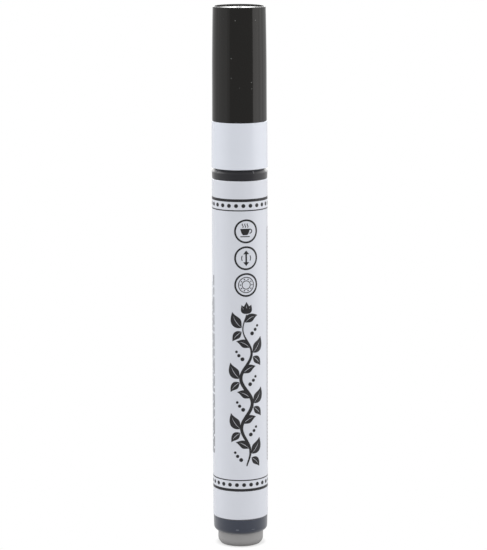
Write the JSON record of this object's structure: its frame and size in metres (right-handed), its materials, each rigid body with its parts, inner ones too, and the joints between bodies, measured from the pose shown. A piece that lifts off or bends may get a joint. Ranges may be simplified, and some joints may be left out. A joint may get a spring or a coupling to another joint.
{
  "type": "porcelain marker",
  "caption": "Slim round paint marker for porcelain, with a pull-off cap, a fine spring-valve point, a paint barrel with a mixing ball, and a flat tail to stand on.",
  "frame": {"origin": "centre of the flat foot under the tail plug, on the surface that the marker stands on", "axes": "+Z along the marker from the tail to the cap; the marker is round, so X and Y point any way, with the picture's camera on the -Y side"},
  "size_m": [0.014, 0.014, 0.1375],
  "materials": {
    "white_shell": "glossy white moulded plastic",
    "cap_crown": "glossy near-black moulded plastic",
    "front_section": "satin dark grey moulded plastic",
    "tail_ring": "satin slate grey moulded plastic",
    "tail_plug": "satin warm grey moulded plastic",
    "cap_seal": "soft natural plastic",
    "nib_holder": "smooth natural plastic",
    "nib": "porous point material",
    "valve_plastic": "natural moulded plastic",
    "valve_rubber": "soft black rubber",
    "steel": "bright stainless steel"
  },
  "bodies": {
    "barrel_unit": {"barrel": "white_shell", "tail_ring": "tail_ring", "tail_plug": "tail_plug", "front_section": "front_section", "valve_housing": "valve_plastic", "valve_seat": "valve_rubber", "valve_spring": "steel"},
    "cap": {"cap_skirt": "white_shell", "cap_crown": "cap_crown", "cap_seal": "cap_seal"},
    "nib_unit": {"nib": "nib", "nib_holder": "nib_holder", "valve_stem": "valve_plastic"},
    "ball": {"mixing_ball": "steel"}
  },
  "joints": [
    {"name": "cap_pull", "type": "slide", "parent": "barrel_unit", "child": "cap", "axis": [0, 0, 1], "range_m": [0, 0.045]},
    {"name": "nib_press", "type": "slide", "parent": "barrel_unit", "child": "nib_unit", "axis": [0, 0, -1], "range_m": [0, 0.0018], "stiffness_N_per_m": 500, "springref_m": -0.002, "deforming": ["valve_spring"]},
    {"name": "ball_travel", "type": "slide", "parent": "barrel_unit", "child": "ball", "axis": [0, 0, 1], "range_m": [0, 0.065]}
  ]
}
